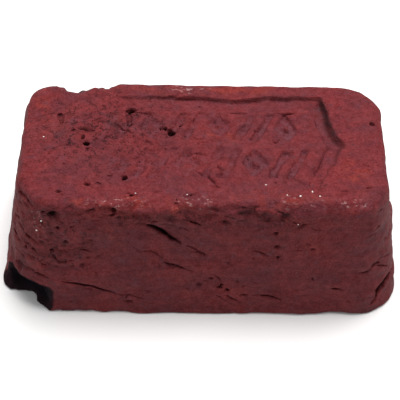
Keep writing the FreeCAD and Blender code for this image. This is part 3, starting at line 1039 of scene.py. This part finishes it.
def clay_material():
    """Dry waxy clay: mottled wine and red, mauve where pressed, painted shade near black in tears and
    pits deep under the skin, and painted highlights with the scuffs.
    """
    clay = Recipe("dark_red_clay", 0.8, 0.18)
    cloudy = clay.noise(9, 4)
    streaky = clay.noise(3.2, 3, (0.45, 1, 1.3), 0.3)
    patchy = clay.noise(1.5, 4, shift=0.7)
    grain = clay.noise(0.45, 3, shift=1.1)
    torn = clay.kept("torn")
    pressed = clay.kept("pressed")

    red_share = clay.ramp(clay.sum(clay.product(cloudy, 0.5), clay.product(streaky, 0.5)), 0.36, 0.66)
    colour = clay.mix(red_share, WINE, RED)
    mauve_share = clay.product(clay.ramp(pressed, 0.1, 0.8), clay.ramp(patchy, 0.3, 0.65, 0.15, 0.65))
    colour = clay.mix(mauve_share, colour, MAUVE)
    mauve_spots = clay.ramp(clay.noise(2.2, 2, shift=2.3), 0.56, 0.74, 0, 0.5)
    colour = clay.mix(mauve_spots, colour, MAUVE)
    orange_spots = clay.ramp(clay.noise(2.6, 2, (0.6, 1, 1), 3.1), 0.42, 0.64, 0, 0.85)
    colour = clay.mix(clay.product(clay.kept("smeared"), orange_spots), colour, ORANGE)
    # painted shade: the sides below the top are a little darker and greyer red
    colour = clay.mix(clay.kept("side_shaded"), colour, clay.mix(1.0, colour, SIDE_SHADE, "MULTIPLY"))
    light = clay.sum(clay.product(patchy, 0.4), clay.product(grain, 0.6))
    colour = clay.mix(1.0, colour, clay.mix(clay.ramp(light, 0.32, 0.68), DARKER, LIGHTER), "MULTIPLY")
    # pale flecks on the scuffs: partly dust, partly painted glints
    flecks_and_glints = clay.ramp(clay.noise(0.8, 5, (0.6, 1, 1), 4.7), 0.56, 0.66, 0, 0.8)
    dust_and_highlight = clay.sum(flecks_and_glints, clay.ramp(patchy, 0.5, 0.8, 0, 0.25))
    colour = clay.mix(clay.product(clay.kept("scuffed_and_highlit"), dust_and_highlight), colour, DUST_AND_HIGHLIGHT)
    specks = clay.ramp(clay.cells(1.7), 0.05, 0.12, 0.7, 0)
    colour = clay.mix(specks, colour, SHADE)
    # darker in cloudy patches where crazed
    dark_patches = clay.ramp(clay.noise(3.4, 3, shift=8.7), 0.48, 0.7, 0, 0.45)
    colour = clay.mix(clay.product(clay.kept("crazed"), dark_patches), colour, SHADE)
    crazed = clay.sum(clay.kept("crazed"), 0.12)
    crack = clay.product(crazed, clay.sum(clay.fissures(2.4, 5.9), clay.fissures(1.3, 7.3)))
    colour = clay.mix(clay.product(crack, 0.8), colour, SHADE)
    # painted shade on the groove's outer wall, broken up by the mottling
    grime = clay.product(clay.kept("grimed"), clay.ramp(clay.sum(patchy, grain), 0.75, 1.15, 0.45, 1.0))
    colour = clay.mix(clay.product(grime, 0.8), colour, SHADE)
    # painted shade, darker the deeper the surface lies under the skin
    colour = clay.mix(clay.ramp(torn, 0.25, 1.9, 0, 0.94), colour, SHADE)
    # painted shade, near black, over the torn corner's cut walls
    colour = clay.mix(clay.product(clay.kept("cavity_shaded"), 0.93), colour, CAVITY_SHADE)
    clay.feed("Base Color", colour)

    # less reflection where the torn corner's shade is painted
    clay.feed("Specular IOR Level", clay.ramp(clay.kept("cavity_shaded"), 0, 1, 0.18, 0.04))
    clay.feed("Roughness", clay.ramp(clay.sum(cloudy, grain), 0.7, 1.3, 0.66, 0.92))
    bumps = clay.bump(streaky, 0.5)
    bumps = clay.bump(patchy, 0.35, bumps)
    bumps = clay.bump(grain, 0.18, bumps)
    bumps = clay.bump(clay.product(crack, -1.0), 0.25, bumps)
    clay.feed("Normal", bumps)
    return clay.material


def grit_material():
    """Pale mineral crumbs, a little dusty with the clay."""
    grit = Recipe("pale_grit", 0.55, 0.4)
    spots = grit.noise(0.25, 3)
    share = grit.ramp(spots, 0.4, 0.7)
    grit.feed("Base Color", grit.mix(share, (0.86, 0.8, 0.76, 1), (0.55, 0.36, 0.33, 1)))
    grit.feed("Roughness", grit.ramp(spots, 0.3, 0.7, 0.35, 0.7))
    grit.feed("Normal", grit.bump(spots, 0.05))
    return grit.material


# ---- stage, light and camera ----

CAMERA_ELEVATION = math.radians(46.85)
CAMERA_TURN = math.radians(1.5)  # round to the left
CAMERA_ROLL = math.radians(1.75)
CAMERA_DISTANCE = 0.3295
CAMERA_LENS = 122.4
SENSOR_WIDTH = 36.0
CAMERA_SHIFT = (-0.003, -0.0235)
KEY_LIGHT = {"place": (0.12, 0.32, 1.2), "size": 0.8, "power": 20.5, "colour": (1, 0.98, 0.97)}
WORLD_STRENGTH = 0.46
FLOOR_HALF = 4.0  # metres
FLOOR_COLOUR = (0.88, 0.88, 0.88, 1)


def add_camera():
    """Looks down on the bar's front from a little to the left, rolled a touch."""
    turn, tilt, roll = CAMERA_TURN, CAMERA_ELEVATION, CAMERA_ROLL
    ahead = Vector((math.sin(turn) * math.cos(tilt), math.cos(turn) * math.cos(tilt), -math.sin(tilt)))
    level_right = Vector((math.cos(turn), -math.sin(turn), 0))
    level_up = level_right.cross(ahead)
    right = level_right * math.cos(roll) + level_up * math.sin(roll)
    up = level_up * math.cos(roll) - level_right * math.sin(roll)
    data = bpy.data.cameras.new("camera")
    data.lens = CAMERA_LENS
    data.sensor_width = SENSOR_WIDTH
    data.shift_x, data.shift_y = CAMERA_SHIFT
    camera = add_piece("camera", data)
    target = Vector((0, 0, HEIGHT / 2 * MM))
    axes = Matrix((right, up, -ahead)).transposed().to_4x4()
    camera.matrix_world = Matrix.Translation(target - ahead * CAMERA_DISTANCE) @ axes
    bpy.context.scene.camera = camera


def add_light(name, place, size, power, colour):
    """A square soft light that faces the bar."""
    data = bpy.data.lights.new(name, "AREA")
    data.size = size
    data.energy = power
    data.color = colour
    light = add_piece(name, data)
    light.location = place
    light.rotation_mode = "QUATERNION"
    light.rotation_quaternion = (-Vector(place)).to_track_quat("-Z", "Y")


def add_floor():
    """A plain pale square under the bar."""
    mesh = bpy.data.meshes.new("floor")
    half = FLOOR_HALF
    corners = [(-half, -half, 0), (half, -half, 0), (half, half, 0), (-half, half, 0)]
    mesh.from_pydata(corners, [], [(0, 1, 2, 3)])
    floor = add_piece("floor", mesh)
    material = bpy.data.materials.new("pale_floor")
    material.use_nodes = True
    shader = material.node_tree.nodes["Principled BSDF"]
    shader.inputs["Base Color"].default_value = FLOOR_COLOUR
    shader.inputs["Roughness"].default_value = 0.9
    shader.inputs["Specular IOR Level"].default_value = 0.1
    mesh.materials.append(material)


def add_world():
    """White light from all round."""
    world = bpy.data.worlds.new("studio")
    world.use_nodes = True
    background = world.node_tree.nodes["Background"]
    background.inputs["Color"].default_value = (1, 1, 1, 1)
    background.inputs["Strength"].default_value = WORLD_STRENGTH
    bpy.context.scene.world = world


# ---- making ----

clay = Clay(GRID_PITCH)
press_panel(clay)
rumple(clay)
mark_damage(clay)
red = clay_material()
for name, field in divide(clay).items():
    make_lump(name, field, clay, red)
make_grit(clay, grit_material())

add_floor()
add_world()
add_light("key", **KEY_LIGHT)
add_camera()
bpy.context.scene.view_settings.view_transform = "Standard"
